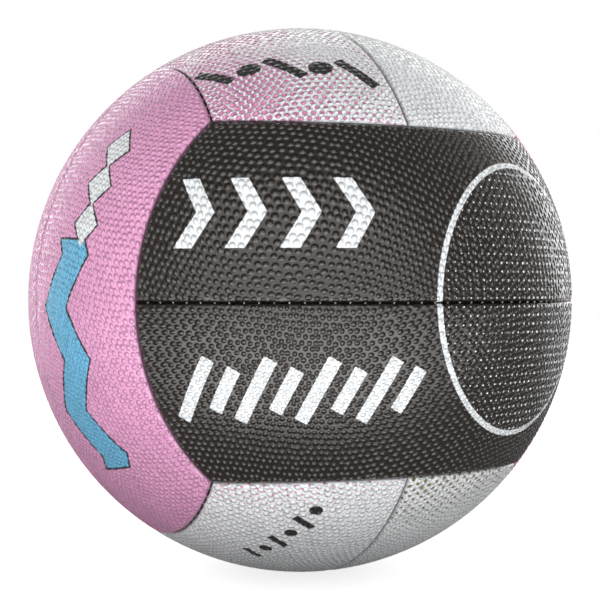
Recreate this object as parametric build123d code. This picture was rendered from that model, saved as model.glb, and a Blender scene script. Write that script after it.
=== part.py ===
from build123d import *
import math
import os

# A hand-stitched netball: 12 equal panels in 6 pairs, a bladder inside, and a valve in one panel.
# The origin is the centre of the ball, +Z is up and -Y is the front.
# Lengths are in millimetres, angles in radians unless a name ends in _deg.

# The ball
BALL_DIAMETER = 222.0          # over the smooth skin
SEAM_BOW = 1.9                 # how far a long seam's middle bows towards its own panel

# The sheet that the panels are cut from, and its turned-in edges
COVER_THICKNESS = 1.1
BACKING_THICKNESS = 0.7
GLUE_LINE = 0.1                # between cover and backing
FOLD_RADIUS = 2.3              # of the rolled edge, on the outside of the cover
FLANGE_DEPTH = 4.6             # from the skin to the end of the turned-in edge
SEAM_GAP = 0.4                 # between the covers of two neighbours
FOLD_CROSSING = 0.05           # how far the roll's full circle stands out of the skin

# The stitches
THREAD_DIAMETER = 0.8
THREAD_IN_HOLE_DIAMETER = 0.7  # where a stitch is drawn tight through the sheets
STITCH_PITCH = 5.2
RAIL_CLEARANCE = 0.1           # between the backing and the thread that lies along it
SEAM_END_MARGIN = 4.5          # from the end of a seam to its last stitch

# The bladder and its balance patch
BLADDER_CLEARANCE = 0.2        # to the ends of the turned-in edges
BLADDER_WALL = 0.8
BOND_LINE = 0.1                # between the bladder and what is stuck to it
BALANCE_PATCH_DIAMETER = 30.0
BALANCE_PATCH_THICKNESS = 1.5

# The valve
VALVE_RECESS = 0.4             # of its outer face below the skin
VALVE_NECK_DIAMETER = 9.0
VALVE_HOLE_CLEARANCE = 0.2     # around the neck and the stem, on the radius
VALVE_FLANGE_DIAMETER = 22.0
VALVE_FLANGE_RIM = 0.8         # thickness of the flange at its rim
VALVE_SEAT_CLEARANCE = 0.3     # between the flange and the backing
VALVE_STEM_DIAMETER = 8.4
VALVE_STEM_LENGTH = 18.0       # from the outer face to the inner end
VALVE_VENT_DIAMETER = 3.0
CORE_LENGTH = 13.0
CORE_TOP_DIAMETER = 6.2
CORE_END_DIAMETER = 4.8
CORE_CLEARANCE = 0.1           # around the core, on the radius
NEEDLE_BORE_DIAMETER = 2.2
NEEDLE_BORE_DEPTH = 6.0

# Worked out from the sizes above
BALL_RADIUS = BALL_DIAMETER / 2
FLANGE_END_RADIUS = BALL_RADIUS - FLANGE_DEPTH
BACKING_DEPTH = COVER_THICKNESS + GLUE_LINE
SHEET_THICKNESS = BACKING_DEPTH + BACKING_THICKNESS
RAIL_DEPTH = SHEET_THICKNESS + RAIL_CLEARANCE + THREAD_DIAMETER / 2
RAIL_OFFSET = SEAM_GAP / 2 + RAIL_DEPTH
BLADDER_RADIUS = FLANGE_END_RADIUS - BLADDER_CLEARANCE
VALVE_FACE = BALL_RADIUS - VALVE_RECESS

# Three seams meet at each corner of a cube in the ball. A long seam is the circle through two of those
# corners and through a point near the parallel circle, drawn in by the bow.
CORNER = 1 / math.sqrt(3)
HALF_FACE = math.asin(CORNER) - SEAM_BOW / BALL_RADIUS
SEAM_TILT = math.atan2(CORNER - math.sin(HALF_FACE), math.cos(HALF_FACE) - CORNER)
SEAM_CONE = math.pi / 2 - HALF_FACE - SEAM_TILT
SEAM_CORNER_ANGLE = math.atan2(1, math.cos(SEAM_TILT) - math.sin(SEAM_TILT))
MIDDLE_SEAM_ANGLE = math.pi / 2 - HALF_FACE

# The outward direction of each face, and of each of its panels away from the middle seam
FACES = {
    "front": ((0, -1, 0), {"upper": (0, 0, 1), "lower": (0, 0, -1)}),
    "back": ((0, 1, 0), {"upper": (0, 0, 1), "lower": (0, 0, -1)}),
    "left": ((-1, 0, 0), {"front": (0, -1, 0), "back": (0, 1, 0)}),
    "right": ((1, 0, 0), {"front": (0, -1, 0), "back": (0, 1, 0)}),
    "top": ((0, 0, 1), {"left": (-1, 0, 0), "right": (1, 0, 0)}),
    "bottom": ((0, 0, -1), {"left": (-1, 0, 0), "right": (1, 0, 0)}),
}
VALVE_FACE_NAME = "back"
VALVE_SIDE_NAME = "upper"

# A panel is drawn with the middle of its face at +Z, its length along X and itself on the +Y side.
MIDDLE_SEAM = Plane(origin=(0, 0, 0), x_dir=(0, 0, 1), z_dir=(0, 1, 0))
LONG_SEAM = Plane(
    origin=(0, 0, 0),
    x_dir=(0, -math.sin(SEAM_TILT), math.cos(SEAM_TILT)),
    z_dir=(0, math.cos(SEAM_TILT), math.sin(SEAM_TILT)),
)
END_SEAMS = {
    side: Plane(
        origin=(0, 0, 0),
        x_dir=(side * math.cos(SEAM_TILT), 0, -math.sin(SEAM_TILT)),
        z_dir=(side * math.sin(SEAM_TILT), 0, math.cos(SEAM_TILT)),
    )
    for side in (-1, 1)
}
VALVE_ON_PANEL = Plane(
    origin=(0, 0, 0),
    x_dir=(1, 0, 0),
    z_dir=(0, math.sin(HALF_FACE / 2), math.cos(HALF_FACE / 2)),
)


def polar(distance, angle, sideways=0.0):
    """A point at a distance from the centre and an angle from the axis, then moved across the seam."""
    return Vector(
        distance * math.sin(angle) + sideways * math.cos(angle),
        distance * math.cos(angle) - sideways * math.sin(angle),
    )


def turned(outline):
    """The solid that a closed outline, drawn beside the Z axis, sweeps round that axis."""
    return revolve(Plane.XZ * make_face(outline), Axis.Z)


def edge_tool(cone_angle, depth):
    """All that lies on the axis side of a seam's cone, for a layer at a depth below the skin.

    Its rim is rolled over where it meets that layer's sphere.
    """
    beyond = BALL_RADIUS + FOLD_RADIUS
    offset = SEAM_GAP / 2 + depth
    roll = FOLD_RADIUS - depth
    roll_offset = SEAM_GAP / 2 + FOLD_RADIUS
    roll_distance = BALL_RADIUS - FOLD_RADIUS + FOLD_CROSSING
    roll_centre = polar(math.sqrt(roll_distance**2 - roll_offset**2), cone_angle, -roll_offset)
    across = polar(0, cone_angle, 1)
    outward = roll_centre.normalized()
    roll_start = roll_centre + across * roll
    roll_middle = roll_centre + (across + outward).normalized() * roll
    roll_end = roll_centre + outward * roll
    roll_angle = math.atan2(roll_centre.X, roll_centre.Y)
    apex = Vector(0, offset / math.sin(cone_angle))
    rim = outward * beyond
    pole = Vector(0, beyond)
    outline = [
        Line(apex, roll_start),
        ThreePointArc(roll_start, roll_middle, roll_end),
        Line(roll_end, rim),
        ThreePointArc(rim, polar(beyond, roll_angle / 2), pole),
        Line(pole, apex),
    ]
    return turned(outline)


def end_tool(seam, side, depth):
    """The edge tool of the seam at one end of a panel, which leaves the panel's other half alone."""
    reach = BALL_DIAMETER
    near = Align.MAX if side > 0 else Align.MIN
    other_half = Box(reach, 2 * reach, 2 * reach, align=(near, Align.CENTER, Align.CENTER))
    return seam * edge_tool(SEAM_CONE, depth) + other_half


def panel_block(depth, floor_radius):
    """A thick panel from a floor up to a depth below the skin, with its edges drawn in by that depth."""
    outside_cone = edge_tool(math.pi - SEAM_CONE, depth)
    block = Sphere(BALL_RADIUS - depth) - Sphere(floor_radius)
    block = block & (MIDDLE_SEAM * edge_tool(math.pi / 2, depth))
    block = block & (Plane(origin=(0, 0, 0), z_dir=-LONG_SEAM.z_dir) * outside_cone)
    for side, seam in END_SEAMS.items():
        block = block & end_tool(seam, side, depth)
    return block


def stitch_angles(start, end, radius):
    """Angles of evenly spaced stitches along a seam, clear of its two ends."""
    margin = SEAM_END_MARGIN / radius
    spaces = round((end - start - 2 * margin) * radius / STITCH_PITCH)
    step = (end - start - 2 * margin) / spaces
    return [start + margin + step * i for i in range(spaces + 1)]


MIDDLE_STITCHES = stitch_angles(-MIDDLE_SEAM_ANGLE, MIDDLE_SEAM_ANGLE, BALL_RADIUS)
HALF_EDGE_STITCHES = stitch_angles(0, SEAM_CORNER_ANGLE, BALL_RADIUS * math.sin(SEAM_CONE))


def stitch(cone_angle, angle):
    """The thread through both sheets, across a seam at an angle along it."""
    middle = polar(BALL_RADIUS - RAIL_DEPTH, cone_angle)
    across = polar(0, cone_angle, 1)
    place = Plane(origin=(middle.X, 0, middle.Y), z_dir=(across.X, 0, across.Y))
    return Rot(0, 0, math.degrees(angle)) * (place * Cylinder(THREAD_IN_HOLE_DIAMETER / 2, 2 * RAIL_OFFSET))


def ladder(cone_angle, angles):
    """The thread of a run of stitches: a bar through each hole, and a rail along each side inside."""
    overrun = THREAD_DIAMETER / BALL_RADIUS
    run_deg = math.degrees(angles[-1] - angles[0] + 2 * overrun)
    start = Rot(0, 0, math.degrees(angles[0] - overrun))
    rails = []
    for side in (-1, 1):
        at = polar(BALL_RADIUS - RAIL_DEPTH, cone_angle, side * RAIL_OFFSET)
        section = Plane.XZ * Pos(at.X, at.Y) * Circle(THREAD_DIAMETER / 2)
        rails.append(start * revolve(section, Axis.Z, run_deg))
    stitches = [stitch(cone_angle, angle) for angle in angles]
    return rails[0].fuse(rails[1], *stitches)


def layer(outer_depth, inner_depth):
    """One sheet of a panel, with its edges turned in. The rubber closes round the stitches."""
    hollow = panel_block(inner_depth, FLANGE_END_RADIUS - FLANGE_DEPTH)
    return panel_block(outer_depth, FLANGE_END_RADIUS) - hollow


def rod(diameter):
    """A round rod from the centre of the ball out along +Z, past the skin."""
    return Cylinder(diameter / 2, BALL_DIAMETER, align=(Align.CENTER, Align.CENTER, Align.MIN))


def shell_disc(inner_radius, thickness, diameter):
    """A round patch that follows a sphere, centred on +Z."""
    return (Sphere(inner_radius + thickness) - Sphere(inner_radius)) & rod(diameter)


def taper(top, length, top_radius, end_radius):
    """A tapered plug below a height on +Z."""
    outline = Polyline(
        (0, top), (top_radius, top), (end_radius, top - length), (0, top - length), close=True
    )
    return turned(outline)


def valve_body():
    """A neck, a flange that is bonded to the bladder, and a stem, bored for the core."""
    neck = VALVE_NECK_DIAMETER / 2
    rim = VALVE_FLANGE_DIAMETER / 2
    stem = VALVE_STEM_DIAMETER / 2
    seat = BLADDER_RADIUS + BOND_LINE
    seat_at = {radius: math.sqrt(seat**2 - radius**2) for radius in (stem, (stem + rim) / 2, rim)}
    root = BALL_RADIUS - SHEET_THICKNESS - VALVE_SEAT_CLEARANCE
    shoulder = math.sqrt(root**2 - neck**2)
    end = VALVE_FACE - VALVE_STEM_LENGTH
    outline = [
        Polyline((0, end), (stem, end), (stem, seat_at[stem])),
        ThreePointArc(*[(radius, height) for radius, height in seat_at.items()]),
        Polyline(
            (rim, seat_at[rim]),
            (rim, seat_at[rim] + VALVE_FLANGE_RIM),
            (neck, shoulder),
            (neck, VALVE_FACE),
            (0, VALVE_FACE),
            (0, end),
        ),
    ]
    seat_for_core = taper(
        VALVE_FACE,
        CORE_LENGTH + CORE_CLEARANCE,
        CORE_TOP_DIAMETER / 2 + CORE_CLEARANCE,
        CORE_END_DIAMETER / 2 + CORE_CLEARANCE,
    )
    vent = Pos(0, 0, end) * Cylinder(VALVE_VENT_DIAMETER / 2, 2 * VALVE_STEM_LENGTH)
    return turned(outline) - seat_for_core - vent


def valve_core():
    """A tapered plug with a blind channel for the pump's needle."""
    plug = taper(VALVE_FACE, CORE_LENGTH, CORE_TOP_DIAMETER / 2, CORE_END_DIAMETER / 2)
    bore = Pos(0, 0, VALVE_FACE) * Cylinder(NEEDLE_BORE_DIAMETER / 2, 2 * NEEDLE_BORE_DEPTH)
    return plug - bore


def panel_place(face, side):
    """Where a panel lies on the ball."""
    outward, sides = FACES[face]
    away = Vector(sides[side])
    return Plane(origin=(0, 0, 0), x_dir=away.cross(Vector(outward)), z_dir=outward)


def save(shape, node):
    """Write one named piece of the ball."""
    export_step(shape, os.path.join("parts", node + ".step"))


def main():
    os.makedirs("parts", exist_ok=True)
    cover = layer(0, COVER_THICKNESS)
    backing = layer(BACKING_DEPTH, SHEET_THICKNESS)
    neck_hole = VALVE_ON_PANEL * rod(VALVE_NECK_DIAMETER + 2 * VALVE_HOLE_CLEARANCE)
    middle_thread = MIDDLE_SEAM * ladder(math.pi / 2, MIDDLE_STITCHES)
    half_edge_thread = LONG_SEAM * ladder(SEAM_CONE, HALF_EDGE_STITCHES)
    edge_thread = Compound([half_edge_thread, mirror(half_edge_thread, Plane.YZ)])

    for face, (_, sides) in FACES.items():
        for side in sides:
            place = panel_place(face, side)
            has_valve = (face, side) == (VALVE_FACE_NAME, VALVE_SIDE_NAME)
            save(place * (cover - neck_hole if has_valve else cover), f"cover_{face}_{side}")
            save(place * (backing - neck_hole if has_valve else backing), f"backing_{face}_{side}")
            save(place * edge_thread, f"edge_thread_{face}_{side}")
        save(panel_place(face, next(iter(sides))) * middle_thread, f"middle_thread_{face}")

    valve_place = panel_place(VALVE_FACE_NAME, VALVE_SIDE_NAME) * VALVE_ON_PANEL
    stem_hole = rod(VALVE_STEM_DIAMETER + 2 * VALVE_HOLE_CLEARANCE)
    bladder = Sphere(BLADDER_RADIUS) - Sphere(BLADDER_RADIUS - BLADDER_WALL) - stem_hole
    patch = shell_disc(BLADDER_RADIUS + BOND_LINE, BALANCE_PATCH_THICKNESS, BALANCE_PATCH_DIAMETER)
    save(valve_place * bladder, "bladder")
    save(valve_place * Rot(180, 0, 0) * patch, "balance_patch")
    save(valve_place * valve_body(), "valve_body")
    save(valve_place * valve_core(), "valve_core")


if __name__ == "__main__":
    main()
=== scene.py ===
import math

import bmesh
import bpy
import numpy as np
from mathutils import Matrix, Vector


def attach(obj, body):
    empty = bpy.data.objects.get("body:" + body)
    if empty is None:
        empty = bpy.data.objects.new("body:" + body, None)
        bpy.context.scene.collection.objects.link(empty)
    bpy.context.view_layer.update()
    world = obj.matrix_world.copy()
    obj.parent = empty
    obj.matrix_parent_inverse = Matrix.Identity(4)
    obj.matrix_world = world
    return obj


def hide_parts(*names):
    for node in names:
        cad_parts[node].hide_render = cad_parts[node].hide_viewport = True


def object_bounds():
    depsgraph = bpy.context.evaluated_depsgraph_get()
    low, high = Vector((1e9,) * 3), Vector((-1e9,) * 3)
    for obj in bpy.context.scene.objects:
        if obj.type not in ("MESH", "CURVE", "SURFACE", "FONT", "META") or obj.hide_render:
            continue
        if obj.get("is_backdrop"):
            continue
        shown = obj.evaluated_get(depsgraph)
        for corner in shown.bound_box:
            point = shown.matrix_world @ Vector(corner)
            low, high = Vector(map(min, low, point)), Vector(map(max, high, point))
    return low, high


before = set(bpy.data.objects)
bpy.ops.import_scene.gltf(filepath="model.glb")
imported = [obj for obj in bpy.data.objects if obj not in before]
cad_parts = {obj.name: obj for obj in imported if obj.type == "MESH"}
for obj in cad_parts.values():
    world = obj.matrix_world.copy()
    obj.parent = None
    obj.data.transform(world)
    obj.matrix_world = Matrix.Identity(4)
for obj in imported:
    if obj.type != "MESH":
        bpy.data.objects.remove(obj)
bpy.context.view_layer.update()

# Sizes in millimetres. The first block is the CAD model's.
BALL_RADIUS = 111.0
SEAM_BOW = 1.9
SEAM_GAP = 0.4
FLANGE_DEPTH = 4.6
COVER_THICKNESS = 1.1
VALVE_HOLE_RADIUS = 4.7
THREAD_DIAMETER = 0.8
RAIL_DEPTH = 2.4               # of the thread that lies along a seam, below the skin
RAIL_OFFSET = 2.6              # of that thread from the middle of the seam
STITCH_PITCH = 5.2
SEAM_END_MARGIN = 4.5          # from the end of a seam to its last stitch

STITCH_RISE = 0.7              # how far a stitch's middle stands out, between the panels
PLY_TURN = 2.4                 # length in which the two plies of the thread go round each other once
EDGE_ROLL = 1.3                # radius at the seams, tighter than the solid's, so that pimples reach them
PIMPLE_PITCH = 2.65
PIMPLE_RADIUS = 1.06
PIMPLE_HEIGHT = 0.25
PIMPLE_JITTER = 0.36           # how far a pimple strays from its even place
PIMPLE_VARIATION = 0.08        # share by which the radii differ
PIMPLE_GROUND = -0.6           # the least value between pimples, where 0 is a pimple's foot and 1 its top
ROW_SWAY = 4.0                 # how far the rows of pimples wave
ROW_SWAY_LENGTH = 110.0
VALVE_LAND_RADIUS = 8.0        # smooth rubber round the valve
VALVE_LAND_FADE = 1.5

# Mesh fineness: points along and across a panel, rows down its rolled edge, rows and columns of pimples,
# sides of a thread, and points along its stitches and rails.
# One in INNER_STEP of a panel's points is enough for the hidden inside.
ALONG = 505
ACROSS = 175
FOLD_ROWS = 4
FLANGE_ROWS = 1
INNER_STEP = 6
INNER_FOLD_ROWS = 2
PIMPLE_SITES = 128
THREAD_SIDES = 6
STITCH_POINTS = 13
RAIL_POINTS = 4                # for each stitch

# Where the two sides of a sheet lie on its texture map: the millimetres of panel along the whole map, and
# for each side the height of its middle and the millimetres of panel up the whole map.
MAP_LENGTH = 240.0
OUTER_MAP = (0.42, 100.0)
INNER_MAP = (0.91, 700.0)
RIM_STEP = 1.01                # how far the end of the turned-in edge lies outside it on the map

MILLIMETRE = 0.001
BODY = "ball"

# The camera of the photograph: its distance and angles, measured from the seams and the outline.
CAMERA_DISTANCE = 535.0
CAMERA_AZIMUTH_DEG = -24.86
CAMERA_ELEVATION_DEG = 0.54
CAMERA_LENS = 76.76
CAMERA_SENSOR = 36.0

# Light, in metres: a wide soft box and a light table in front, a dim room, a white backdrop behind the
# ball, and fill lamps at the sides, above and on the table, which show in no reflection. A radiance of 1
# is white.
SOFT_BOX_SIZE = 2.07
SOFT_BOX_DISTANCE = 1.0
SOFT_BOX_RADIANCE = 0.8
LIGHT_TABLE_SIZE = (2.0, 0.8)
LIGHT_TABLE_START = 0.15       # from the middle of the ball towards the camera
LIGHT_TABLE_HEIGHT = 0.002     # over the floor
LIGHT_TABLE_RADIANCE = 1.2
TABLE_FILL_HEIGHT = 0.004      # clear of the table, because lamps in one place lose light
TABLE_FILL_RADIANCE = 1.3
FILL_SIZE = 2.0
FILL_DISTANCE = 1.1
SIDE_FILL_RADIANCE = 0.87
TOP_FILL_RADIANCE = 0.38
ROOM_RADIANCE = 0.1
BACKDROP_RADIANCE = 1.9
BACKDROP_EDGE = (0.45, 0.8)    # cosines of the angles between which the room turns into the backdrop
BACKDROP_FOOT = (-0.25, 0.05)  # sines of the heights between which it rises from the dark
FLOOR_SIZE = 30.0
FLOOR_GLOW = 0.79              # to the eye alone
FLOOR_ROUGHNESS = 0.9
FLOOR_CLOUDS = (400.0, 0.985, 1.0)  # size in millimetres, darkest and lightest

# Where the seams run, as unit directions. A panel is drawn with the middle of its face at +Z,
# its length along X and itself on the +Y side of the middle seam.
CORNER = 1 / math.sqrt(3)
HALF_FACE = math.asin(CORNER) - SEAM_BOW / BALL_RADIUS
SEAM_TILT = math.atan2(CORNER - math.sin(HALF_FACE), math.cos(HALF_FACE) - CORNER)
SEAM_CONE = math.pi / 2 - HALF_FACE - SEAM_TILT
MIDDLE_AXIS = np.array((0.0, 1.0, 0.0))
LONG_AXIS = np.array((0.0, math.cos(SEAM_TILT), math.sin(SEAM_TILT)))
LEFT_AXIS = np.array((-math.sin(SEAM_TILT), 0.0, math.cos(SEAM_TILT)))
RIGHT_AXIS = np.array((math.sin(SEAM_TILT), 0.0, math.cos(SEAM_TILT)))
SEAM_CORNER_ANGLE = math.atan2(1, math.cos(SEAM_TILT) - math.sin(SEAM_TILT))
MIDDLE_SEAM_ANGLE = math.pi / 2 - HALF_FACE
VALVE_AXIS = np.array((0.0, math.sin(HALF_FACE / 2), math.cos(HALF_FACE / 2)))

# Each face's outward direction, and the direction of each of its panels away from the middle seam.
# The first panel of a face gives the face's own x and y for its print.
FACES = {
    "front": ((0, -1, 0), {"upper": (0, 0, 1), "lower": (0, 0, -1)}),
    "back": ((0, 1, 0), {"upper": (0, 0, 1), "lower": (0, 0, -1)}),
    "left": ((-1, 0, 0), {"front": (0, -1, 0), "back": (0, 1, 0)}),
    "right": ((1, 0, 0), {"front": (0, -1, 0), "back": (0, 1, 0)}),
    "top": ((0, 0, 1), {"left": (-1, 0, 0), "right": (1, 0, 0)}),
    "bottom": ((0, 0, -1), {"left": (-1, 0, 0), "right": (1, 0, 0)}),
}
VALVE_PANEL = ("back", "upper")


def srgb(red, green, blue):
    """A colour given as it looks on a screen, 0 to 255, as the linear values that shaders take."""
    parts = [channel / 255 for channel in (red, green, blue)]
    linear = [p / 12.92 if p <= 0.04045 else ((p + 0.055) / 1.055) ** 2.4 for p in parts]
    return (*linear, 1.0)


BLACK = srgb(34, 27, 21)
PINK = srgb(221, 156, 195)
WHITE = srgb(238, 240, 242)
INK_WHITE = srgb(226, 229, 231)
INK_PINK = srgb(224, 146, 190)
INK_PINK_EDGE = srgb(190, 104, 152)
INK_BLUE = srgb(104, 178, 214)
INK_DARK = srgb(38, 34, 34)
INK_OLIVE = srgb(136, 128, 92)
THREAD_COLOUR = srgb(246, 241, 226)
BACKING_COLOUR = srgb(214, 208, 194)
BLADDER_COLOUR = srgb(58, 56, 55)
VALVE_COLOUR = srgb(50, 48, 48)
DUST_COLOUR = srgb(150, 148, 145)
FLOOR_COLOUR = srgb(205, 205, 205)
NO_LIGHT = (0.0, 0.0, 0.0, 1.0)
FULL_LIGHT = (1.0, 1.0, 1.0, 1.0)

# Noise: its detail, and the range that most of it lies in
NOISE_DETAIL = 3.0
NOISE_RANGE = (0.3, 0.7)

# The printed rubber's skin, in millimetres. A pimple's value is 0 at its foot and 1 at its top.
FOOT_VALUE = 0.05              # where the painted shade round a pimple's foot is deepest
FOOT_REACH = 0.35              # how far from that value it fades out
COLOUR_FOOT_PAINTED_SHADE = 0.7        # share of colour the painted shade leaves at a pimple's foot, on black and pink
# the same painted shade at a pimple's foot, on white
WHITE_FOOT_PAINTED_SHADE = 0.55
# painted shade at the bottom of the seams, as the share of colour left
SEAM_PAINTED_SHADE = 0.3
SEAM_LEVELS = (0.2, 0.95)      # how level the skin lies where the seams' painted shade is deepest and where it ends
SKIN_CLOUDS = (9.0, 0.92, 1.03)     # size, darkest and lightest
TOP_RELIEF = 0.5
EDGE_RELIEF = 0.1
EDGE_VALUES = (-0.1, 0.4)      # between which a pimple's edge rises
GRAIN_SIZE = 0.35
GRAIN_RELIEF = 0.02
COAT_RELIEF = 0.5              # share of the relief that shows in the glossy coat
COAT_ROUGHNESS = 0.17
COAT_IOR = 1.5
SKIN_ROUGHNESS = (0.28, 0.18)  # on the ground and near a pimple's top
SMOOTH_VALUE = 0.8             # from which it is smoothest
SKIN_GLOSS = 0.35              # the shader's specular level
BLACK_GLOSS = 0.85

# Cloth and thread. The weave is the length in which the ripple turns by one radian.
THREAD_WEAVE = 0.4
BACKING_WEAVE = 0.5
WAVE_RATE = 20                 # radians that the wave texture turns by in a metre, at a scale of 1
WEAVE_RELIEF = 0.25            # share of the weave
WEAVE_STRENGTH = 0.6
# painted shade in the low parts of the ripple, as the share of colour left
WEAVE_PAINTED_SHADE = 0.7
CLOTH_ROUGHNESS = 0.85
CLOTH_CLOUDS = (2.0, 0.9, 1.05)     # size, darkest and lightest

# The unprinted rubber of the bladder and the valve
DUST_SIZE = 3.0
DUST_RANGE = (0.45, 0.75)      # of the noise, from no dust to the most
DUST_SHARE = 0.12
MOULD_GRAIN_SIZE = 0.4
MOULD_GRAIN_RELIEF = 0.04
MOULD_GRAIN_STRENGTH = 0.4
MOULD_ROUGHNESS = (1.5, 0.42, 0.6)  # size, smoothest and roughest


# Panel geometry

def edge_circles(inset, radius):
    """A panel's four edges, drawn in by an inset, each as an axis and the cosine of the angle from it."""
    shift = inset / radius
    return {
        "middle": (MIDDLE_AXIS, math.sin(shift)),
        "long": (LONG_AXIS, math.cos(SEAM_CONE + shift)),
        "left": (LEFT_AXIS, math.cos(SEAM_CONE - shift)),
        "right": (RIGHT_AXIS, math.cos(SEAM_CONE - shift)),
    }


def meeting(first, second, near):
    """The point of the unit sphere where two circles cross, on the side of a direction."""
    (a, p), (b, q) = first, second
    dot = a @ b
    across = np.cross(a, b)
    flat = ((p - q * dot) * a + (q - p * dot) * b) / (1 - dot**2)
    rise = math.sqrt((1 - flat @ flat) / (across @ across))
    return flat + across * rise * np.sign(across @ near)


def arc(circle, start, end, count):
    """Evenly spaced points along a circle of the unit sphere, from one of its points to another."""
    axis, cosine = circle
    out = start - cosine * axis
    radius = np.linalg.norm(out)
    first = out / radius
    second = np.cross(axis, first)
    sweep = math.atan2(end @ second, end @ first)
    angles = np.linspace(0, sweep, count)[:, None]
    return cosine * axis + radius * (np.cos(angles) * first + np.sin(angles) * second)


def panel_edges(inset, depth, step):
    """The middle, right, long and left edges of a panel at a depth, as unit directions."""
    circles = edge_circles(inset, BALL_RADIUS - depth)
    along = (ALONG - 1) // step + 1
    across = (ACROSS - 1) // step + 1
    near = {
        side: (np.array((sign, 0.0, 1.0)), np.array((sign, 1.0, 1.0)))
        for side, sign in (("left", -1.0), ("right", 1.0))
    }
    low = {side: meeting(circles["middle"], circles[side], near[side][0]) for side in near}
    high = {side: meeting(circles["long"], circles[side], near[side][1]) for side in near}
    return (
        arc(circles["middle"], low["left"], low["right"], along),
        arc(circles["right"], low["right"], high["right"], across),
        arc(circles["long"], high["left"], high["right"], along),
        arc(circles["left"], low["left"], high["left"], across),
    )


def loop(edges):
    """The four edges as one closed run, anticlockwise from outside."""
    middle, right, far, left = edges
    return np.concatenate((middle[:-1], right[:-1], far[:0:-1], left[:0:-1]))


def patch(edges):
    """A grid of unit directions that fills the four edges."""
    middle, right, far, left = edges
    s = np.linspace(0, 1, len(middle))[None, :, None]
    t = np.linspace(0, 1, len(left))[:, None, None]
    sides = (1 - t) * middle[None] + t * far[None] + (1 - s) * left[:, None] + s * right[:, None]
    corners = (1 - t) * ((1 - s) * middle[0] + s * middle[-1]) + t * ((1 - s) * far[0] + s * far[-1])
    grid = sides - corners
    return grid / np.linalg.norm(grid, axis=2, keepdims=True)


def patch_loop(across, along):
    """Indices of a grid's rim, in the order of loop()."""
    index = np.arange(across * along).reshape(across, along)
    return np.concatenate((index[0, :-1], index[:-1, -1], index[-1, :0:-1], index[:0:-1, 0]))


def grid_faces(across, along):
    index = np.arange(across * along).reshape(across, along)
    corners = (index[:-1, :-1], index[:-1, 1:], index[1:, 1:], index[1:, :-1])
    return np.stack(corners, axis=-1).reshape(-1, 4)


def ring_faces(inner, outer):
    return np.stack((outer, np.roll(outer, -1), np.roll(inner, -1), inner), axis=-1)


def surface(layer_depth, step, fold_rows, flange_rows):
    """One side of a panel's sheet, at a depth below the skin, with its edges rolled and turned in.

    Gives the points, their directions with the edges laid out flat, how level each point lies, the faces,
    and the indices of the last row.
    """
    roll = EDGE_ROLL - layer_depth
    start = SEAM_GAP / 2 + EDGE_ROLL
    grid = patch(panel_edges(start, layer_depth, step))
    across, along = grid.shape[:2]
    count = across * along
    points = [grid.reshape(-1, 3) * (BALL_RADIUS - layer_depth)]
    laid = [grid.reshape(-1, 3)]
    level = [np.ones(count)]
    faces = [grid_faces(across, along)]
    row = patch_loop(across, along)
    turns = [math.pi / 2 * i / fold_rows for i in range(1, fold_rows + 1)]
    drops = [(FLANGE_DEPTH - EDGE_ROLL) * i / flange_rows for i in range(1, flange_rows + 1)]
    for turn, drop in [(turn, 0.0) for turn in turns] + [(math.pi / 2, drop) for drop in drops]:
        depth = EDGE_ROLL - roll * math.cos(turn) + drop
        ring = loop(panel_edges(start - roll * math.sin(turn), depth, step))
        next_row = np.arange(count, count + len(ring))
        points.append(ring * (BALL_RADIUS - depth))
        laid.append(loop(panel_edges(start - roll * turn - drop, layer_depth, step)))
        level.append(np.full(len(ring), math.cos(turn)))
        faces.append(ring_faces(row, next_row))
        row = next_row
        count += len(ring)
    return *(np.concatenate(parts) for parts in (points, laid, level, faces)), row


def smoothstep(low, high, value):
    share = np.clip((value - low) / (high - low), 0, 1)
    return share * share * (3 - 2 * share)


def sheet_place(directions):
    """Places on a panel's sheet, in millimetres along and across it from its middle."""
    lean = HALF_FACE / 2
    x, y, z = directions.T
    across = y * math.cos(lean) - z * math.sin(lean)
    outward = y * math.sin(lean) + z * math.cos(lean)
    return BALL_RADIUS * np.arctan2(x, outward), BALL_RADIUS * np.arcsin(across)


def print_place(directions):
    """Places on a face, in millimetres along its middle seam and away from it."""
    x, y, z = directions.T
    return BALL_RADIUS * np.arctan2(x, z), BALL_RADIUS * np.arcsin(y)


def pimples(directions, seed):
    """The moulded pimples at points of a panel: 1 at a top, 0 at a foot, less on the ground between."""
    random = np.random.default_rng(seed)
    sites = (PIMPLE_SITES, PIMPLE_SITES)
    stray = random.uniform(-PIMPLE_JITTER, PIMPLE_JITTER, (*sites, 2))
    size = PIMPLE_RADIUS * (1 + random.uniform(-PIMPLE_VARIATION, PIMPLE_VARIATION, sites))
    lean, phase = random.uniform(0, math.pi, 2)
    along, across = sheet_place(directions)
    wave = 2 * math.pi / ROW_SWAY_LENGTH
    x = along * math.cos(lean) + across * math.sin(lean) + ROW_SWAY * np.sin(across * wave + phase)
    y = across * math.cos(lean) - along * math.sin(lean) + ROW_SWAY * np.sin(along * wave + phase)
    row_step = PIMPLE_PITCH * math.sqrt(3) / 2
    nearest_row = np.round(y / row_step).astype(int)
    height = np.full(len(directions), PIMPLE_GROUND)
    for row in (nearest_row - 1, nearest_row, nearest_row + 1):
        shift = 0.5 * (row % 2)
        nearest = np.round(x / PIMPLE_PITCH - shift).astype(int)
        for column in (nearest - 1, nearest, nearest + 1):
            site = (row % PIMPLE_SITES, column % PIMPLE_SITES)
            dx = x - (column + shift) * PIMPLE_PITCH - stray[site][:, 0]
            dy = y - row * row_step - stray[site][:, 1]
            height = np.maximum(height, 1 - (dx**2 + dy**2) / size[site] ** 2)
    return height


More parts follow.
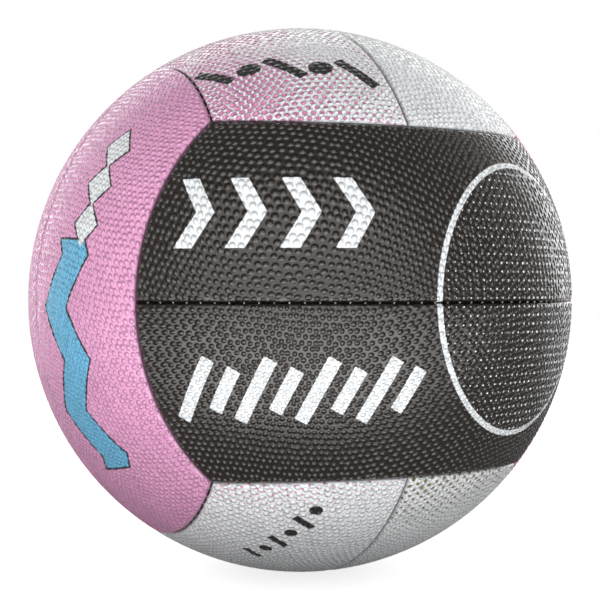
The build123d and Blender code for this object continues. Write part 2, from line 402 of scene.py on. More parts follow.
def dome(share):
    """Height in millimetres of a round-topped pimple, where 0 is its foot and 1 its top."""
    radius = (PIMPLE_RADIUS**2 + PIMPLE_HEIGHT**2) / (2 * PIMPLE_HEIGHT)
    return np.sqrt(radius**2 - PIMPLE_RADIUS**2 * (1 - share)) - (radius - PIMPLE_HEIGHT)


# Prints: signed distances in millimetres, negative inside a shape

def bar(x, y, centre, length, width, turn_deg):
    """A straight stroke with square ends."""
    turn = math.radians(turn_deg)
    dx, dy = x - centre[0], y - centre[1]
    along = np.abs(dx * math.cos(turn) + dy * math.sin(turn)) - length / 2
    across = np.abs(dy * math.cos(turn) - dx * math.sin(turn)) - width / 2
    return np.maximum(along, across)


def disc(x, y, centre, radius):
    return np.hypot(x - centre[0], y - centre[1]) - radius


def diamond(x, y, centre, half):
    """A square stood on its corner, with the half diagonals given."""
    away = np.abs(x - centre[0]) / half[0] + np.abs(y - centre[1]) / half[1] - 1
    return away / math.hypot(1 / half[0], 1 / half[1])


def outline(shape, width):
    """A line along the edge of a shape."""
    return np.abs(shape) - width / 2


def chevron(x, y, centre, height, width):
    """A stroke bent in the middle, which points along +x."""
    dy = np.abs(y - centre[1])
    slope = math.hypot(1, CHEVRON_POINT)
    stroke = np.abs(x - centre[0] + CHEVRON_POINT * dy) / slope - width / 2
    return np.maximum(stroke, dy - height / 2)


def zigzag(x, y, centre, period, swing, width):
    """A ribbon that runs along x and swings from side to side."""
    wave = np.abs(((x - centre[0]) / period) % 1 - 0.5) * 4 - 1
    slope = math.hypot(1, 4 * swing / period)
    return np.abs(y - centre[1] - swing * wave) / slope - width / 2


def union(shapes):
    return np.minimum.reduce(shapes)


# All prints: how soft an ink's edge is, and how far apart the halftone dots are
INK_BLUR = 0.12
DOT_PITCH = 3.1

# The front and back: a row of chevrons, a row of slanted bars and a hoop filled with dots
CHEVRONS_X = [-82 + 19 * i for i in range(4)]
CHEVRONS_Y = 31
CHEVRON_HEIGHT = 25
CHEVRON_WIDTH = 6
CHEVRON_POINT = 0.6            # how far its tip stands out, for each unit of half its height
BARS_X = [-86 + 11 * i for i in range(8)]
BARS_Y = -30
BAR_LENGTHS = (25, 17)
BAR_WIDTH = 5
BAR_TURN_DEG = 62
HOOP_CENTRE = (52, 1)
HOOP_RADIUS = 51
HOOP_WIDTH = 2.2
HOOP_DOTS_X = (10.0, 95.0)     # along which its dots grow
HOOP_DOT_RADII = (0.25, 0.7)
HOOP_DOT_BLUR = 0.08

# The left and right: a blue zigzag ribbon below a row of white diamonds, both with a dark outline
RIBBON_CENTRE = (22, 27)
RIBBON_LENGTH = 92
RIBBON_PERIOD = 40
RIBBON_SWING = 6
RIBBON_WIDTH = 15
DIAMONDS_X = (-62, -46, -30)
DIAMONDS_Y = 36
DIAMOND_HALF = (9, 7.5)
OUTLINE_WIDTH = 0.9

# The top and bottom: small dark bars with a disc between each two, and fields of dots that grow outwards
TOP_MARKS = [(-60 - 5 * i, 60 - 12.2 * i) for i in range(5)]
TOP_BAR = (20, 4.6, 28)
TOP_DISC_RADIUS = 4.6
BOTTOM_MARKS = [(48 + 8.4 * i, 40.5 - 2.1 * i) for i in range(6)]
BOTTOM_BAR = (9.5, 3, 60)
BOTTOM_DISC_RADIUS = 2.5
PINK_DOT_TURN_DEG = 20
OLIVE_DOT_TURN_DEG = -12
DOT_EDGE = 0.26                # width of the deeper ink round a dot of the top
TOP_DOTS_Y = (2.0, 52.0)
TOP_DOT_RADII = (0.45, 1.25)
TOP_SEAM_FADE = 1.0            # in which the dots end, on each side of the middle seam
BOTTOM_SEAM_FADE = 0.5
PINK_DOTS_SLANT = 0.55         # how much more the dots reach for each unit away from the seam
PINK_DOTS_REACH = (88.0, 132.0)     # along which they grow, as the olive ones do along x
PINK_DOT_RADIUS = 0.72
OLIVE_DOTS_X = (62.0, 104.0)
OLIVE_DOT_RADIUS = 0.8


def front_print(x, y):
    chevrons = [chevron(x, y, (cx, CHEVRONS_Y), CHEVRON_HEIGHT, CHEVRON_WIDTH) for cx in CHEVRONS_X]
    bars = [
        bar(x, y, (cx, BARS_Y), BAR_LENGTHS[i % 2], BAR_WIDTH, BAR_TURN_DEG)
        for i, cx in enumerate(BARS_X)
    ]
    inside = disc(x, y, HOOP_CENTRE, HOOP_RADIUS)
    return {"first_ink": union([*chevrons, *bars, outline(inside, HOOP_WIDTH)]), "second_ink": inside}


def left_print(x, y):
    ribbon = zigzag(x, y, RIBBON_CENTRE, RIBBON_PERIOD, RIBBON_SWING, RIBBON_WIDTH)
    ribbon = np.maximum(ribbon, np.abs(x - RIBBON_CENTRE[0]) - RIBBON_LENGTH / 2)
    diamonds = union([diamond(x, y, (cx, DIAMONDS_Y), DIAMOND_HALF) for cx in DIAMONDS_X])
    return {
        "first_ink": ribbon,
        "second_ink": outline(union([ribbon, diamonds]), OUTLINE_WIDTH),
        "third_ink": diamonds,
    }


def marks_print(x, y, places, bar_shape, disc_radius):
    """A row of bars and discs, in turn."""
    bars = [bar(x, y, place, *bar_shape) for place in places[::2]]
    discs = [disc(x, y, place, disc_radius) for place in places[1::2]]
    return {"first_ink": union(bars + discs)}


def top_print(x, y):
    return marks_print(x, y, TOP_MARKS, TOP_BAR, TOP_DISC_RADIUS)


def bottom_print(x, y):
    return marks_print(x, y, BOTTOM_MARKS, BOTTOM_BAR, BOTTOM_DISC_RADIUS)


PRINTS = {
    "front": front_print,
    "back": front_print,
    "left": left_print,
    "right": left_print,
    "top": top_print,
    "bottom": bottom_print,
}


# Panel pieces

def cut_valve_hole(mesh):
    """Opens the round hole for the valve through both sides of a panel's sheet."""
    axis = Vector(VALVE_AXIS)
    model = bmesh.new()
    model.from_mesh(mesh)
    radius = VALVE_HOLE_RADIUS * MILLIMETRE
    inside = [
        vertex
        for vertex in model.verts
        if vertex.co.dot(axis) > 0 and (vertex.co - axis * vertex.co.dot(axis)).length < radius
    ]
    bmesh.ops.delete(model, geom=inside, context="VERTS")
    rims = [edge for edge in model.edges if edge.is_boundary]
    for vertex in {vertex for edge in rims for vertex in edge.verts}:
        height = axis * vertex.co.dot(axis)
        vertex.co = height + (vertex.co - height).normalized() * radius
    bmesh.ops.bridge_loops(model, edges=rims)
    model.to_mesh(mesh)
    model.free()


def map_place(laid, side_map):
    """Places of one side's points on the texture map."""
    along, across = sheet_place(laid)
    middle, height = side_map
    return np.stack((0.5 + along / MAP_LENGTH, middle + across / height), axis=-1)


def smooth_normals(points, faces):
    mesh = bpy.data.meshes.new("smooth")
    mesh.from_pydata(points.tolist(), [], faces.tolist())
    normals = np.empty(len(points) * 3, dtype=np.float32)
    mesh.vertex_normals.foreach_get("vector", normals)
    bpy.data.meshes.remove(mesh)
    return normals.reshape(-1, 3)


def panel_mesh(name, seed, has_valve):
    """A panel's pimpled sheet in its own frame, closed behind, and three values for each of its points.

    The values are the points' directions with the edges laid flat, the pimples, and how level they lie.
    """
    outer, outer_laid, level, outer_faces, outer_rim = surface(0.0, 1, FOLD_ROWS, FLANGE_ROWS)
    inner, inner_laid, _, inner_faces, inner_rim = surface(
        COVER_THICKNESS, INNER_STEP, INNER_FOLD_ROWS, FLANGE_ROWS
    )
    shown = level**2
    if has_valve:
        from_valve = np.linalg.norm(np.cross(outer, VALVE_AXIS), axis=1)
        shown = shown * smoothstep(VALVE_LAND_RADIUS, VALVE_LAND_RADIUS + VALVE_LAND_FADE, from_valve)
    bumps = PIMPLE_GROUND + (pimples(outer_laid, seed) - PIMPLE_GROUND) * shown
    raised = outer + smooth_normals(outer, outer_faces) * dome(np.clip(bumps, 0, 1))[:, None]

    run = np.arange(len(inner_rim))
    ahead = (run + 1) % len(inner_rim)
    outer_run = (run[:, None] * INNER_STEP + np.arange(INNER_STEP, -1, -1)) % len(outer_rim)
    closing = np.concatenate((
        outer_rim[outer_run],
        inner_rim[run][:, None] + len(outer),
        inner_rim[ahead][:, None] + len(outer),
    ), axis=1)
    inner_faces = inner_faces[:, ::-1]
    mesh = bpy.data.meshes.new(name)
    mesh.from_pydata(
        (np.concatenate((raised, inner)) * MILLIMETRE).tolist(),
        [],
        outer_faces.tolist() + (inner_faces + len(outer)).tolist() + closing.tolist(),
    )

    outer_map = map_place(outer_laid, OUTER_MAP)
    inner_map = map_place(inner_laid, INNER_MAP)
    middle = np.array((0.5, OUTER_MAP[0]))
    rim_map = middle + (outer_map[outer_rim] - middle) * RIM_STEP
    closing_map = np.concatenate((
        outer_map[outer_rim[outer_run]],
        rim_map[run * INNER_STEP][:, None],
        rim_map[ahead * INNER_STEP][:, None],
    ), axis=1)
    face_maps = (outer_map[outer_faces], inner_map[inner_faces], closing_map)
    corners = [part.reshape(-1, 2) for part in face_maps]
    layer = mesh.uv_layers.new(name="OFBake")
    layer.uv.foreach_set("vector", np.concatenate(corners).astype(np.float32).ravel())
    values = (
        (outer_laid, inner_laid),
        (bumps, np.full(len(inner), PIMPLE_GROUND)),
        (level, np.zeros(len(inner))),
    )
    return mesh, *(np.concatenate(parts) for parts in values)


def add_values(mesh, name, values):
    """Stores one number for each point of a mesh, for its material."""
    mesh.attributes.new(name, "FLOAT", "POINT").data.foreach_set("value", values.astype(np.float32))


def panel_turn(face, side):
    """Turns a panel's own frame to its place on the ball."""
    outward, sides = FACES[face]
    away = sides[side]
    return np.array((np.cross(away, outward), away, outward), dtype=float).T


def make_panel(face, side, material, seed):
    name = f"panel_{face}_{side}"
    has_valve = (face, side) == VALVE_PANEL
    mesh, laid, bumps, level = panel_mesh(name, seed, has_valve)
    sign = 1 if side == next(iter(FACES[face][1])) else -1
    x, y = (sign * place for place in print_place(laid))
    values = {"print_x": x, "print_y": y, "pimple": bumps, "level": level, **PRINTS[face](x, y)}
    for key, numbers in values.items():
        add_values(mesh, key, numbers)
    if has_valve:
        cut_valve_hole(mesh)
    places = np.empty(len(mesh.vertices) * 3, dtype=np.float32)
    mesh.vertices.foreach_get("co", places)
    turned = places.reshape(-1, 3) @ panel_turn(face, side).T
    mesh.vertices.foreach_set("co", turned.astype(np.float32).ravel())
    mesh.shade_smooth()
    mesh.materials.append(material)
    piece = bpy.data.objects.new(name, mesh)
    bpy.context.collection.objects.link(piece)
    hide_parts(f"cover_{face}_{side}")
    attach(piece, BODY)


# Seam thread

def stitch_angles(start, end, radius):
    """Angles of evenly spaced stitches along a seam, clear of its two ends."""
    margin = SEAM_END_MARGIN / radius
    spaces = round((end - start - 2 * margin) * radius / STITCH_PITCH)
    return np.linspace(start + margin, end - margin, spaces + 1)


def seam_directions(axis, cone, angles):
    """The outward direction and the direction across a seam, at angles along it."""
    middle = np.cross((1.0, 0.0, 0.0), axis)
    ring = np.cos(angles)[..., None] * middle + np.sin(angles)[..., None] * np.cross(axis, middle)
    return math.cos(cone) * axis + math.sin(cone) * ring, math.cos(cone) * ring - math.sin(cone) * axis


def tubes(paths, ups, radius):
    """Points and faces of closed tubes along many paths, which all have as many points."""
    ahead = np.gradient(paths, axis=1)
    ahead /= np.linalg.norm(ahead, axis=2, keepdims=True)
    side = np.cross(ahead, ups)
    side /= np.linalg.norm(side, axis=2, keepdims=True)
    up = np.cross(side, ahead)
    turn = np.linspace(0, 2 * math.pi, THREAD_SIDES, endpoint=False)[:, None]
    rings = np.cos(turn) * side[:, :, None] + np.sin(turn) * up[:, :, None]
    points = paths[:, :, None] + radius * rings
    index = np.arange(points.size // 3).reshape(points.shape[:3])
    around = np.roll(index, -1, axis=2)
    walls = np.stack((index[:, :-1], index[:, 1:], around[:, 1:], around[:, :-1]), axis=-1)
    ends = np.concatenate((index[:, 0], index[:, -1, ::-1]))
    return points.reshape(-1, 3), walls.reshape(-1, 4).tolist() + ends.tolist()


def twisted(paths, ups):
    """Two plies that go round each other along each of some paths."""
    ahead = np.gradient(paths, axis=1)
    step = np.linalg.norm(ahead, axis=2, keepdims=True)
    side = np.cross(ahead / step, ups)
    turn = 2 * math.pi * np.cumsum(step, axis=1) / PLY_TURN
    swing = (np.cos(turn) * side + np.sin(turn) * ups) * THREAD_DIAMETER / 4
    return np.concatenate((paths + swing, paths - swing)), np.concatenate((ups, ups))


def ladder(axis, cone, angles):
    """The thread of a run of stitches: a bar across the seam for each, and a rail along each side."""
    overrun = THREAD_DIAMETER / BALL_RADIUS
    along = np.linspace(angles[0] - overrun, angles[-1] + overrun, RAIL_POINTS * len(angles))
    outward, across = seam_directions(axis, cone, along)
    deep = BALL_RADIUS - RAIL_DEPTH
    rails = np.stack([outward * deep + across * side * RAIL_OFFSET for side in (-1, 1)])
    rail_ups = np.stack((outward, outward))
    outward, across = (part[:, None] for part in seam_directions(axis, cone, angles))
    place = np.linspace(-1, 1, STITCH_POINTS)[None, :, None]
    rise = STITCH_RISE * (1 - np.abs(place)) ** 2
    bars = outward * (deep + rise) + across * place * RAIL_OFFSET
    rail_points, rail_faces = tubes(rails, rail_ups, THREAD_DIAMETER / 2)
    plies = twisted(bars, np.broadcast_to(outward, bars.shape))
    bar_points, bar_faces = tubes(*plies, THREAD_DIAMETER / 4)
    moved = [[corner + len(rail_points) for corner in face] for face in bar_faces]
    return np.concatenate((rail_points, bar_points)), rail_faces + moved


def make_thread(name, face, side, points, faces, material):
    """A thread given in a panel's own frame, put in its place on the ball."""
    mesh = bpy.data.meshes.new(f"sewn_{name}")
    mesh.from_pydata((points @ panel_turn(face, side).T * MILLIMETRE).tolist(), [], faces)
    mesh.shade_smooth()
    mesh.materials.append(material)
    piece = bpy.data.objects.new(f"sewn_{name}", mesh)
    bpy.context.collection.objects.link(piece)
    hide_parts(name)
    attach(piece, BODY)


def make_threads():
    material = cloth("seam_thread", THREAD_COLOUR, THREAD_WEAVE)
    middle_angles = stitch_angles(-MIDDLE_SEAM_ANGLE, MIDDLE_SEAM_ANGLE, BALL_RADIUS)
    middle = ladder(MIDDLE_AXIS, math.pi / 2, middle_angles)
    half_angles = stitch_angles(0, SEAM_CORNER_ANGLE, BALL_RADIUS * math.sin(SEAM_CONE))
    halves = [ladder(LONG_AXIS, SEAM_CONE, angles) for angles in (half_angles, -half_angles[::-1])]
    shift = len(halves[0][0])
    edge_points = np.concatenate([points for points, _ in halves])
    edge_faces = halves[0][1] + [[corner + shift for corner in face] for face in halves[1][1]]
    for face, (_, sides) in FACES.items():
        for side in sides:
            make_thread(f"edge_thread_{face}_{side}", face, side, edge_points, edge_faces, material)
        make_thread(f"middle_thread_{face}", face, next(iter(sides)), *middle, material)


# Materials

class Paint:
    """Builds a material's nodes a step at a time."""

    def __init__(self, name):
        self.material = bpy.data.materials.new(name)
        self.material.use_nodes = True
        self.nodes = self.material.node_tree.nodes
        self.links = self.material.node_tree.links
        self.shader = self.nodes["Principled BSDF"]

    def put(self, value, socket):
        """Sets a socket to a value, or links it to another node's output."""
        if isinstance(value, bpy.types.NodeSocket):
            self.links.new(value, socket)
        else:
            socket.default_value = value

    def setting(self, name, value):
        """Gives one of the shader's own sockets a value or another node's output."""
        self.put(value, self.shader.inputs[name])

    def maths(self, operation, *values):
        node = self.nodes.new("ShaderNodeMath")
        node.operation = operation
        for value, socket in zip(values, node.inputs):
            self.put(value, socket)
        return node.outputs[0]

    def between(self, value, low, high, start=0.0, end=1.0):
        """Goes from start to end while a value goes from low to high."""
        node = self.nodes.new("ShaderNodeMapRange")
        numbers = (value, low, high, start, end)
        for number, socket in zip(numbers, node.inputs):
            self.put(number, socket)
        return node.outputs[0]

    def mix(self, share, first, second):
        node = self.nodes.new("ShaderNodeMix")
        node.data_type = "RGBA"
        self.put(share, node.inputs["Factor"])
        # the sockets for colours, which share their names with those for numbers
        self.put(first, node.inputs[6])
        self.put(second, node.inputs[7])
        return node.outputs[2]

    def shaded(self, colour, shade):
        """A colour made darker by a shade, where 1 leaves it as it is."""
        return self.mix(shade, NO_LIGHT, colour)

    def point_value(self, name):
        node = self.nodes.new("ShaderNodeAttribute")
        node.attribute_name = name
        return node.outputs["Fac"]

    def noise(self, size):
        """Even cloudy noise, whose blots are about a size in millimetres."""
        place = self.nodes.new("ShaderNodeTexCoord")
        node = self.nodes.new("ShaderNodeTexNoise")
        node.inputs["Scale"].default_value = 1 / (size * MILLIMETRE)
        node.inputs["Detail"].default_value = NOISE_DETAIL
        self.links.new(place.outputs["Object"], node.inputs["Vector"])
        return node.outputs["Fac"]

    def clouds(self, size, low, high):
        """Cloudy noise that goes from a low value to a high one."""
        return self.between(self.noise(size), *NOISE_RANGE, low, high)

    def inked(self, distance, blur=INK_BLUR):
        """1 inside a shape and 0 outside, from its signed distance."""
        return self.between(distance, -blur, blur, 1.0, 0.0)

    def dots(self, turn_deg, radius, staggered=True):
        """The signed distance to a field of round dots, with a radius that may vary."""
        turn = math.radians(turn_deg)
        x, y = self.point_value("print_x"), self.point_value("print_y")
        across = self.maths("ADD", self.maths("MULTIPLY", x, math.cos(turn) / DOT_PITCH),
                            self.maths("MULTIPLY", y, math.sin(turn) / DOT_PITCH))
        row_pitch = DOT_PITCH * (math.sqrt(3) / 2 if staggered else 1)
        up = self.maths("SUBTRACT", self.maths("MULTIPLY", y, math.cos(turn) / row_pitch),
                        self.maths("MULTIPLY", x, math.sin(turn) / row_pitch))
        row = self.maths("FLOOR", up)
        if staggered:
            across = self.maths("ADD", across, self.maths("MULTIPLY", row, 0.5))
        dx = self.maths("SUBTRACT", self.maths("FRACT", across), 0.5)
        dy = self.maths("SUBTRACT", self.maths("SUBTRACT", up, row), 0.5)
        dx = self.maths("MULTIPLY", dx, DOT_PITCH)
        dy = self.maths("MULTIPLY", dy, row_pitch)
        away = self.maths("SQRT", self.maths("ADD", self.maths("MULTIPLY", dx, dx),
                                             self.maths("MULTIPLY", dy, dy)))
        return self.maths("SUBTRACT", away, radius)

    def bump(self, height, distance, strength=1.0, socket="Normal"):
        """Relief from a height, where a height of 1 is a distance in millimetres."""
        node = self.nodes.new("ShaderNodeBump")
        node.inputs["Strength"].default_value = strength
        node.inputs["Distance"].default_value = distance * MILLIMETRE
        self.put(height, node.inputs["Height"])
        self.setting(socket, node.outputs["Normal"])

    def finish(self, colour):
        self.setting("Base Color", colour)
        return self.material


def rubber(paint, colour, foot_painted_shade, gloss=SKIN_GLOSS):
    """Moulded rubber over a print: painted shade round the pimples' feet and in the seams, and a fine
    grain.
    """
    pimple = paint.point_value("pimple")
    # painted shade: the colour is darker round each pimple's foot
    from_foot = paint.maths("ABSOLUTE", paint.maths("SUBTRACT", pimple, FOOT_VALUE))
    foot = paint.between(from_foot, 0.0, FOOT_REACH, foot_painted_shade, 1.0)
    # painted shade where the skin turns down into a seam
    seam = paint.between(paint.point_value("level"), *SEAM_LEVELS, SEAM_PAINTED_SHADE, 1.0)
    shade = paint.maths("MULTIPLY", paint.maths("MULTIPLY", foot, paint.clouds(*SKIN_CLOUDS)), seam)
    top = paint.between(pimple, 0.0, 1.0, 0.0, TOP_RELIEF)
    edge = paint.between(pimple, *EDGE_VALUES, 0.0, EDGE_RELIEF)
    grain = paint.maths("MULTIPLY", paint.noise(GRAIN_SIZE), GRAIN_RELIEF)
    relief = paint.maths("ADD", paint.maths("ADD", top, edge), grain)
    paint.bump(relief, 1.0)
    paint.bump(relief, COAT_RELIEF, socket="Coat Normal")
    paint.setting("Roughness", paint.between(pimple, 0.0, SMOOTH_VALUE, *SKIN_ROUGHNESS))
    paint.setting("Specular IOR Level", gloss)
    paint.setting("Coat Weight", 1.0)
    paint.setting("Coat Roughness", COAT_ROUGHNESS)
    paint.setting("Coat IOR", COAT_IOR)
    return paint.finish(paint.shaded(colour, shade))


def black_print_rubber():
    """Black rubber with white marks, and white dots in the hoop that grow along its face."""
    paint = Paint("black_printed_rubber")
    size = paint.between(paint.point_value("print_x"), *HOOP_DOTS_X, *HOOP_DOT_RADII)
    dots = paint.inked(paint.dots(0, size, staggered=False), HOOP_DOT_BLUR)
    dots = paint.maths("MULTIPLY", dots, paint.inked(paint.point_value("second_ink")))
    ink = paint.maths("MAXIMUM", dots, paint.inked(paint.point_value("first_ink")))
    return rubber(paint, paint.mix(ink, BLACK, INK_WHITE), COLOUR_FOOT_PAINTED_SHADE, BLACK_GLOSS)


def pink_print_rubber():
    """Pink rubber with the blue ribbon, the white diamonds and the dark outlines."""
    paint = Paint("pink_printed_rubber")
    colour = PINK
    for shape, ink in (("first_ink", INK_BLUE), ("third_ink", INK_WHITE), ("second_ink", INK_DARK)):
        colour = paint.mix(paint.inked(paint.point_value(shape)), colour, ink)
    return rubber(paint, colour, COLOUR_FOOT_PAINTED_SHADE)


def edged_dots(paint, ground, distance, ink, edge_ink):
    """Dots with a thin edge in a deeper ink."""
    inside = paint.maths("ADD", distance, DOT_EDGE)
    return paint.mix(paint.inked(inside), paint.mix(paint.inked(distance), ground, edge_ink), ink)


def top_print_rubber():
    """White rubber with dark marks, and pink dots on its left half that grow away from the seam."""
    paint = Paint("top_printed_rubber")
    y = paint.point_value("print_y")
    left = paint.between(y, -TOP_SEAM_FADE, TOP_SEAM_FADE)
    size = paint.maths("MULTIPLY", paint.between(y, *TOP_DOTS_Y, *TOP_DOT_RADII), left)
    colour = edged_dots(paint, WHITE, paint.dots(PINK_DOT_TURN_DEG, size), INK_PINK, INK_PINK_EDGE)
    colour = paint.mix(paint.inked(paint.point_value("first_ink")), colour, INK_DARK)
    return rubber(paint, colour, WHITE_FOOT_PAINTED_SHADE)


def bottom_print_rubber():
    """White rubber with dark marks and, at the front, pink dots on its left half and olive on its right."""
    paint = Paint("bottom_printed_rubber")
    x, y = paint.point_value("print_x"), paint.point_value("print_y")
    left = paint.between(y, -BOTTOM_SEAM_FADE, BOTTOM_SEAM_FADE)
    right = paint.maths("SUBTRACT", 1.0, left)
    reach = paint.maths("ADD", x, paint.maths("MULTIPLY", y, PINK_DOTS_SLANT))
    pink_size = paint.between(reach, *PINK_DOTS_REACH, 0.0, PINK_DOT_RADIUS)
    olive_size = paint.between(x, *OLIVE_DOTS_X, 0.0, OLIVE_DOT_RADIUS)
    pink_dots = paint.dots(PINK_DOT_TURN_DEG, paint.maths("MULTIPLY", pink_size, left))
    olive_dots = paint.dots(OLIVE_DOT_TURN_DEG, paint.maths("MULTIPLY", olive_size, right))
    colour = paint.mix(paint.inked(pink_dots), WHITE, INK_PINK)
    colour = paint.mix(paint.inked(olive_dots), colour, INK_OLIVE)
    colour = paint.mix(paint.inked(paint.point_value("first_ink")), colour, INK_DARK)
    return rubber(paint, colour, WHITE_FOOT_PAINTED_SHADE)


def cloth(name, colour, weave):
    """Woven cloth or laid thread: a two-way ripple, painted shade in its low parts, and some unevenness."""
    paint = Paint(name)
    paint.setting("Roughness", CLOTH_ROUGHNESS)
    place = paint.nodes.new("ShaderNodeTexCoord")
    ripples = []
    for direction in ("X", "Z"):
        wave = paint.nodes.new("ShaderNodeTexWave")
        wave.bands_direction = direction
        wave.inputs["Scale"].default_value = 1 / (weave * MILLIMETRE * WAVE_RATE)
        paint.links.new(place.outputs["Object"], wave.inputs["Vector"])
        ripples.append(wave.outputs["Fac"])
    height = paint.maths("MAXIMUM", *ripples)
    paint.bump(height, weave * WEAVE_RELIEF, WEAVE_STRENGTH)
    # painted shade, darker where the ripple is low
    shade = paint.between(height, 0.0, 1.0, WEAVE_PAINTED_SHADE, 1.0)
    shade = paint.maths("MULTIPLY", shade, paint.clouds(*CLOTH_CLOUDS))
    return paint.finish(paint.shaded(colour, shade))


def smooth_rubber(name, colour):
    """Moulded rubber with no print, dusted a little."""
    paint = Paint(name)
    dust = paint.between(paint.noise(DUST_SIZE), *DUST_RANGE, 0.0, DUST_SHARE)
    paint.bump(paint.noise(MOULD_GRAIN_SIZE), MOULD_GRAIN_RELIEF, MOULD_GRAIN_STRENGTH)
    paint.setting("Roughness", paint.clouds(*MOULD_ROUGHNESS))
    return paint.finish(paint.mix(dust, colour, DUST_COLOUR))


def dress_frame():
    """Gives the CAD pieces that stay their materials."""
    backing = cloth("backing_cloth", BACKING_COLOUR, BACKING_WEAVE)
    bladder = smooth_rubber("bladder_rubber", BLADDER_COLOUR)
    valve = smooth_rubber("valve_rubber", VALVE_COLOUR)
    by_name = {
        "backing_": backing,
        "bladder": bladder,
        "balance_patch": bladder,
        "valve_": valve,
    }
    for name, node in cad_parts.items():
        for start, material in by_name.items():
            if name.startswith(start):
                node.data.materials.clear()
                node.data.materials.append(material)


def make_panels():
    black = black_print_rubber()
    pink = pink_print_rubber()
    printed = {
        "front": black,
        "back": black,
        "left": pink,
        "right": pink,
        "top": top_print_rubber(),
        "bottom": bottom_print_rubber(),
    }
    panels = [(face, side) for face, (_, sides) in FACES.items() for side in sides]
    for seed, (face, side) in enumerate(panels):
        make_panel(face, side, printed[face], seed)


# Studio

def make_floor():
    """A pale paper floor, which takes the ball's shadow and shows in no reflection."""
    low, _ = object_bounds()
    bpy.ops.mesh.primitive_plane_add(size=FLOOR_SIZE, location=(0, 0, low[2]))
    floor = bpy.context.object
    floor.name = "floor"
    paint = Paint("floor_paper")
    paint.setting("Roughness", FLOOR_ROUGHNESS)
    paint.setting("Specular IOR Level", 0.0)
    paint.setting("Emission Color", FULL_LIGHT)
    path = paint.nodes.new("ShaderNodeLightPath")
    paint.setting("Emission Strength", paint.maths("MULTIPLY", path.outputs["Is Camera Ray"], FLOOR_GLOW))
    floor.data.materials.append(paint.finish(paint.shaded(FLOOR_COLOUR, paint.clouds(*FLOOR_CLOUDS))))
    floor.visible_glossy = False
    floor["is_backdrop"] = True


def camera_direction():
    """From the ball towards the camera."""
    azimuth, elevation = math.radians(CAMERA_AZIMUTH_DEG), math.radians(CAMERA_ELEVATION_DEG)
    return Vector((
        math.sin(azimuth) * math.cos(elevation),
        -math.cos(azimuth) * math.cos(elevation),
        math.sin(elevation),
    ))


def make_world():
    """A dim room with a white backdrop behind the ball. To the eye all of it is white."""
    world = bpy.data.worlds.new("surround")
    bpy.context.scene.world = world
    world.use_nodes = True
    nodes, links = world.node_tree.nodes, world.node_tree.links
    place = nodes.new("ShaderNodeTexCoord")
    behind = nodes.new("ShaderNodeVectorMath")
    behind.operation = "DOT_PRODUCT"
    links.new(place.outputs["Generated"], behind.inputs[0])
    behind.inputs[1].default_value = -camera_direction()
    height = nodes.new("ShaderNodeSeparateXYZ")
    links.new(place.outputs["Generated"], height.inputs[0])
    backdrop = nodes.new("ShaderNodeMath")
    backdrop.operation = "MULTIPLY"
    limits = ((behind.outputs["Value"], BACKDROP_EDGE), (height.outputs["Z"], BACKDROP_FOOT))
    for factor, (value, (start, end)) in zip(backdrop.inputs, limits):
        rise = nodes.new("ShaderNodeMapRange")
        rise.inputs["From Min"].default_value, rise.inputs["From Max"].default_value = start, end
        links.new(value, rise.inputs["Value"])
        links.new(rise.outputs[0], factor)
    light = nodes.new("ShaderNodeMapRange")
    links.new(backdrop.outputs[0], light.inputs["Value"])
    light.inputs["To Min"].default_value = ROOM_RADIANCE
    light.inputs["To Max"].default_value = BACKDROP_RADIANCE
    path = nodes.new("ShaderNodeLightPath")
    seen = nodes.new("ShaderNodeMix")
    links.new(path.outputs["Is Camera Ray"], seen.inputs["Factor"])
    links.new(light.outputs[0], seen.inputs["A"])
    seen.inputs["B"].default_value = 1.0
    background = nodes["Background"]
    background.inputs["Color"].default_value = FULL_LIGHT
    links.new(seen.outputs[0], background.inputs["Strength"])


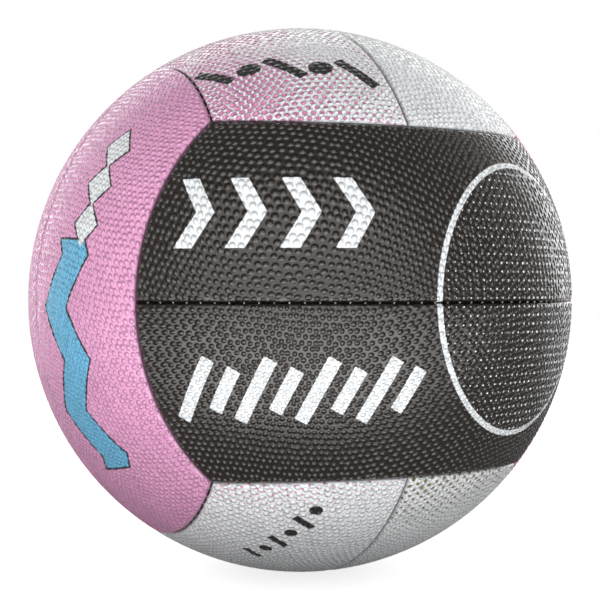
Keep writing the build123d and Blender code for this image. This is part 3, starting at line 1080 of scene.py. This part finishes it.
def add_lamp(name, size, radiance, place, facing, reflected=True):
    """An even rectangle of light, which the camera doesn't see."""
    light = bpy.data.lights.new(name, "AREA")
    light.shape = "RECTANGLE"
    light.size, light.size_y = size
    light.energy = radiance * math.pi * size[0] * size[1]
    lamp = bpy.data.objects.new(name, light)
    lamp.location = place
    lamp.rotation_euler = facing
    lamp.visible_camera = False
    lamp.visible_glossy = reflected
    bpy.context.collection.objects.link(lamp)


def make_lamps():
    """A soft box behind the camera, a light table on the floor in front of the ball, and the fill lamps.

    The lamps at the sides and above stand round the ball, and the last one lies on the table.
    """
    towards = camera_direction()
    sideways = towards.cross(Vector((0.0, 0.0, 1.0))).normalized()
    fills = {
        "left_fill": (sideways, SIDE_FILL_RADIANCE),
        "right_fill": (-sideways, SIDE_FILL_RADIANCE),
        "top_fill": (Vector((0.0, 0.0, 1.0)), TOP_FILL_RADIANCE),
    }
    fill_size = (FILL_SIZE, FILL_SIZE)
    for name, (direction, radiance) in fills.items():
        facing = direction.to_track_quat("Z", "Y").to_euler()
        add_lamp(name, fill_size, radiance, direction * FILL_DISTANCE, facing, reflected=False)
    box_size = (SOFT_BOX_SIZE, SOFT_BOX_SIZE)
    box_facing = towards.to_track_quat("Z", "Y").to_euler()
    add_lamp("soft_box", box_size, SOFT_BOX_RADIANCE, towards * SOFT_BOX_DISTANCE, box_facing)
    place = towards * (LIGHT_TABLE_START + LIGHT_TABLE_SIZE[1] / 2)
    table_facing = (math.pi, 0.0, math.radians(CAMERA_AZIMUTH_DEG))
    place.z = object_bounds()[0][2] + LIGHT_TABLE_HEIGHT
    add_lamp("light_table", LIGHT_TABLE_SIZE, LIGHT_TABLE_RADIANCE, place, table_facing)
    place.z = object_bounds()[0][2] + TABLE_FILL_HEIGHT
    add_lamp("table_fill", LIGHT_TABLE_SIZE, TABLE_FILL_RADIANCE, place, table_facing, reflected=False)


def make_camera():
    data = bpy.data.cameras.new("camera")
    data.lens = CAMERA_LENS
    data.sensor_width = CAMERA_SENSOR
    camera = bpy.data.objects.new("camera", data)
    camera.location = camera_direction() * CAMERA_DISTANCE * MILLIMETRE
    camera.rotation_euler = camera_direction().to_track_quat("Z", "Y").to_euler()
    bpy.context.collection.objects.link(camera)
    bpy.context.scene.camera = camera


make_camera()
make_panels()
make_threads()
dress_frame()
make_floor()
make_world()
make_lamps()
bpy.context.scene.view_settings.view_transform = "Standard"
